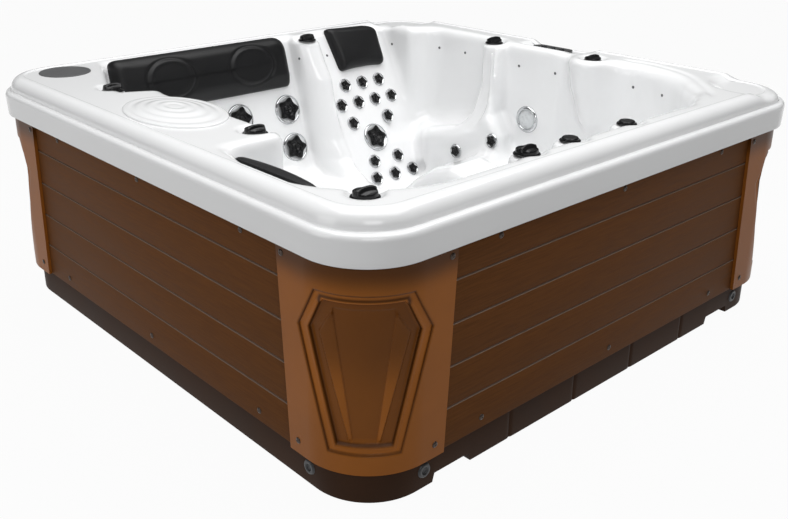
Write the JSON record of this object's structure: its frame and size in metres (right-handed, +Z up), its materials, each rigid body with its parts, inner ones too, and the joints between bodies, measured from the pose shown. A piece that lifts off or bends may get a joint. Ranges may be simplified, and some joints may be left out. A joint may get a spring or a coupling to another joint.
{
  "type": "hot tub",
  "caption": "Square free-standing hot tub with a white moulded shell, lounger, bench seats, turning jets and knobs, lift-off filter lid, pillows, and a brown boarded cabinet on a dark base.",
  "frame": {"origin": "on the floor under the middle of the tub", "axes": "+Z up, -Y towards the front seat side, +X towards the lounger's side"},
  "size_m": [2.1, 2.1, 0.839],
  "materials": {
    "shell_acrylic": "glossy white acrylic",
    "base_plastic": "dark moulded plastic",
    "dark_plastic": "dark plastic",
    "board_composite": "brown composite board with faint grain",
    "corner_plastic": "moulded brown plastic, slight sheen",
    "frame_timber": "sawn timber",
    "screw_steel": "bright screw heads",
    "bezel_steel": "polished stainless",
    "knob_plastic": "black glossy plastic",
    "jet_plastic": "black plastic",
    "filter_fabric": "pleated white filter cloth",
    "panel_plastic": "black glossy panel",
    "button_plastic": "grey keys",
    "lens_glass": "clear ribbed lens",
    "led_glass": "small grey lenses",
    "pillow_foam": "black skin foam",
    "pump_metal": "black painted housing",
    "suction_plastic": "pale grey plastic",
    "lid_plastic": "pale grey plastic",
    "cover_plastic": "dark grey plastic"
  },
  "bodies": {
    "tub": {"acrylic_shell": "shell_acrylic", "base_pan": "base_plastic", "hose_ports": "dark_plastic", "front_boards": "board_composite", "right_boards": "board_composite", "back_boards": "board_composite", "left_boards": "board_composite", "right_corner_panel": "corner_plastic", "far_corner_panel": "corner_plastic", "left_corner_panel": "corner_plastic", "near_corner_panel": "corner_plastic", "cabinet_frame": "frame_timber", "cabinet_screws": "screw_steel", "jet_bezels": "bezel_steel", "valve_flanges": "knob_plastic", "filter_cartridge": "filter_fabric", "control_panel": "panel_plastic", "light_bezel": "bezel_steel", "light_lens": "lens_glass", "waterline_lights": "led_glass", "double_pillow": "pillow_foam", "lounge_pillow": "pillow_foam", "side_pillow": "pillow_foam", "jet_pump": "pump_metal", "control_pack": "dark_plastic", "suction_covers": "suction_plastic"},
    "lounge_jet_1": {"lounge_jet_1": "jet_plastic"},
    "lounge_jet_2": {"lounge_jet_2": "jet_plastic"},
    "lounge_jet_3": {"lounge_jet_3": "jet_plastic"},
    "lounge_jet_4": {"lounge_jet_4": "jet_plastic"},
    "lounge_jet_5": {"lounge_jet_5": "jet_plastic"},
    "lounge_jet_6": {"lounge_jet_6": "jet_plastic"},
    "lounge_jet_7": {"lounge_jet_7": "jet_plastic"},
    "lounge_jet_8": {"lounge_jet_8": "jet_plastic"},
    "lounge_jet_9": {"lounge_jet_9": "jet_plastic"},
    "lounge_jet_10": {"lounge_jet_10": "jet_plastic"},
    "lounge_jet_11": {"lounge_jet_11": "jet_plastic"},
    "lounge_jet_12": {"lounge_jet_12": "jet_plastic"},
    "lounge_jet_13": {"lounge_jet_13": "jet_plastic"},
    "lounge_jet_14": {"lounge_jet_14": "jet_plastic"},
    "lounge_large_jet": {"lounge_large_jet": "jet_plastic"},
    "bench_left_jet": {"bench_left_jet": "jet_plastic"},
    "bench_right_jet": {"bench_right_jet": "jet_plastic"},
    "bench_low_jet": {"bench_low_jet": "jet_plastic"},
    "side_jet_1": {"side_jet_1": "jet_plastic"},
    "side_jet_2": {"side_jet_2": "jet_plastic"},
    "left_rear_knob": {"left_rear_knob": "knob_plastic"},
    "left_front_knob": {"left_front_knob": "knob_plastic"},
    "rear_knob": {"rear_knob": "knob_plastic"},
    "right_rear_knob": {"right_rear_knob": "knob_plastic"},
    "right_front_knob": {"right_front_knob": "knob_plastic"},
    "near_corner_knob": {"near_corner_knob": "knob_plastic"},
    "front_knob": {"front_knob": "knob_plastic"},
    "air_knob_1": {"air_knob_1": "knob_plastic"},
    "air_knob_2": {"air_knob_2": "knob_plastic"},
    "light_button": {"light_button": "button_plastic"},
    "jets_button": {"jets_button": "button_plastic"},
    "heat_button": {"heat_button": "button_plastic"},
    "filter_lid": {"filter_lid": "lid_plastic"},
    "round_cover": {"round_cover": "cover_plastic"}
  },
  "joints": [
    {"name": "lounge_jet_1_turn", "type": "hinge", "parent": "tub", "child": "lounge_jet_1", "pos_m": [0.464, 0.80503, 0.57703], "axis": [0, -0.866, 0.5], "range_deg": [0, 90]},
    {"name": "lounge_jet_2_turn", "type": "hinge", "parent": "tub", "child": "lounge_jet_2", "pos_m": [0.566, 0.80503, 0.57703], "axis": [0, -0.866, 0.5], "range_deg": [0, 90]},
    {"name": "lounge_jet_3_turn", "type": "hinge", "parent": "tub", "child": "lounge_jet_3", "pos_m": [0.668, 0.80503, 0.57703], "axis": [0, -0.866, 0.5], "range_deg": [0, 90]},
    {"name": "lounge_jet_4_turn", "type": "hinge", "parent": "tub", "child": "lounge_jet_4", "pos_m": [0.404, 0.76115, 0.50102], "axis": [0, -0.866, 0.5], "range_deg": [0, 90]},
    {"name": "lounge_jet_5_turn", "type": "hinge", "parent": "tub", "child": "lounge_jet_5", "pos_m": [0.506, 0.76115, 0.50102], "axis": [0, -0.866, 0.5], "range_deg": [0, 90]},
    {"name": "lounge_jet_6_turn", "type": "hinge", "parent": "tub", "child": "lounge_jet_6", "pos_m": [0.608, 0.76115, 0.50102], "axis": [0, -0.866, 0.5], "range_deg": [0, 90]},
    {"name": "lounge_jet_7_turn", "type": "hinge", "parent": "tub", "child": "lounge_jet_7", "pos_m": [0.71, 0.76115, 0.50102], "axis": [0, -0.866, 0.5], "range_deg": [0, 90]},
    {"name": "lounge_jet_8_turn", "type": "hinge", "parent": "tub", "child": "lounge_jet_8", "pos_m": [0.435, 0.71551, 0.42197], "axis": [0, -0.866, 0.5], "range_deg": [0, 90]},
    {"name": "lounge_jet_9_turn", "type": "hinge", "parent": "tub", "child": "lounge_jet_9", "pos_m": [0.647, 0.71551, 0.42197], "axis": [0, -0.866, 0.5], "range_deg": [0, 90]},
    {"name": "lounge_jet_10_turn", "type": "hinge", "parent": "tub", "child": "lounge_jet_10", "pos_m": [0.4785, 0.61912, 0.25502], "axis": [0, -0.866, 0.5], "range_deg": [0, 90]},
    {"name": "lounge_jet_11_turn", "type": "hinge", "parent": "tub", "child": "lounge_jet_11", "pos_m": [0.6235, 0.61912, 0.25502], "axis": [0, -0.866, 0.5], "range_deg": [0, 90]},
    {"name": "lounge_jet_12_turn", "type": "hinge", "parent": "tub", "child": "lounge_jet_12", "pos_m": [0.459, 0.57982, 0.18696], "axis": [0, -0.866, 0.5], "range_deg": [0, 90]},
    {"name": "lounge_jet_13_turn", "type": "hinge", "parent": "tub", "child": "lounge_jet_13", "pos_m": [0.571, 0.57982, 0.18696], "axis": [0, -0.866, 0.5], "range_deg": [0, 90]},
    {"name": "lounge_jet_14_turn", "type": "hinge", "parent": "tub", "child": "lounge_jet_14", "pos_m": [0.683, 0.57982, 0.18696], "axis": [0, -0.866, 0.5], "range_deg": [0, 90]},
    {"name": "lounge_large_jet_turn", "type": "hinge", "parent": "tub", "child": "lounge_large_jet", "pos_m": [0.534, 0.6728, 0.34801], "axis": [0, -0.866, 0.5], "range_deg": [0, 90]},
    {"name": "bench_left_jet_turn", "type": "hinge", "parent": "tub", "child": "bench_left_jet", "pos_m": [-0.091, 0.84227, 0.51004], "axis": [0, -0.9613, 0.2756], "range_deg": [0, 90]},
    {"name": "bench_right_jet_turn", "type": "hinge", "parent": "tub", "child": "bench_right_jet", "pos_m": [0.16, 0.84227, 0.51004], "axis": [0, -0.9613, 0.2756], "range_deg": [0, 90]},
    {"name": "bench_low_jet_turn", "type": "hinge", "parent": "tub", "child": "bench_low_jet", "pos_m": [0.161, 0.79523, 0.34601], "axis": [0, -0.9613, 0.2756], "range_deg": [0, 90]},
    {"name": "side_jet_1_turn", "type": "hinge", "parent": "tub", "child": "side_jet_1", "pos_m": [0.705, 0.321, 0.32702], "axis": [-1, 0, 0], "range_deg": [0, 90]},
    {"name": "side_jet_2_turn", "type": "hinge", "parent": "tub", "child": "side_jet_2", "pos_m": [0.705, 0.11099, 0.42], "axis": [-1, 0, 0], "range_deg": [0, 90]},
    {"name": "left_rear_knob_turn", "type": "hinge", "parent": "tub", "child": "left_rear_knob", "pos_m": [-0.807, 0.54, 0.802], "axis": [0, 0, 1], "range_deg": [0, 180]},
    {"name": "left_front_knob_turn", "type": "hinge", "parent": "tub", "child": "left_front_knob", "pos_m": [-0.747, -0.229, 0.802], "axis": [0, 0, 1], "range_deg": [0, 180]},
    {"name": "rear_knob_turn", "type": "hinge", "parent": "tub", "child": "rear_knob", "pos_m": [0.286, 0.848, 0.802], "axis": [0, 0, 1], "range_deg": [0, 180]},
    {"name": "right_rear_knob_turn", "type": "hinge", "parent": "tub", "child": "right_rear_knob", "pos_m": [0.859, 0.259, 0.802], "axis": [0, 0, 1], "range_deg": [0, 180]},
    {"name": "right_front_knob_turn", "type": "hinge", "parent": "tub", "child": "right_front_knob", "pos_m": [0.861, -0.262, 0.802], "axis": [0, 0, 1], "range_deg": [0, 180]},
    {"name": "near_corner_knob_turn", "type": "hinge", "parent": "tub", "child": "near_corner_knob", "pos_m": [-0.869, -0.863, 0.802], "axis": [0, 0, 1], "range_deg": [0, 180]},
    {"name": "front_knob_turn", "type": "hinge", "parent": "tub", "child": "front_knob", "pos_m": [-0.303, -0.895, 0.802], "axis": [0, 0, 1], "range_deg": [0, 180]},
    {"name": "air_knob_1_turn", "type": "hinge", "parent": "tub", "child": "air_knob_1", "pos_m": [-0.107, -0.893, 0.802], "axis": [0, 0, 1], "range_deg": [0, 90]},
    {"name": "air_knob_2_turn", "type": "hinge", "parent": "tub", "child": "air_knob_2", "pos_m": [0.17, -0.897, 0.802], "axis": [0, 0, 1], "range_deg": [0, 90]},
    {"name": "light_button_press", "type": "slide", "parent": "tub", "child": "light_button", "axis": [0, 0, -1], "range_m": [0, 0.002], "stiffness_N_per_m": 500},
    {"name": "jets_button_press", "type": "slide", "parent": "tub", "child": "jets_button", "axis": [0, 0, -1], "range_m": [0, 0.002], "stiffness_N_per_m": 500},
    {"name": "heat_button_press", "type": "slide", "parent": "tub", "child": "heat_button", "axis": [0, 0, -1], "range_m": [0, 0.002], "stiffness_N_per_m": 500},
    {"name": "filter_lid_lift", "type": "slide", "parent": "tub", "child": "filter_lid", "axis": [0, 0, 1], "range_m": [0, 0.35]},
    {"name": "round_cover_lift", "type": "slide", "parent": "tub", "child": "round_cover", "axis": [0, 0, 1], "range_m": [0, 0.2]}
  ]
}
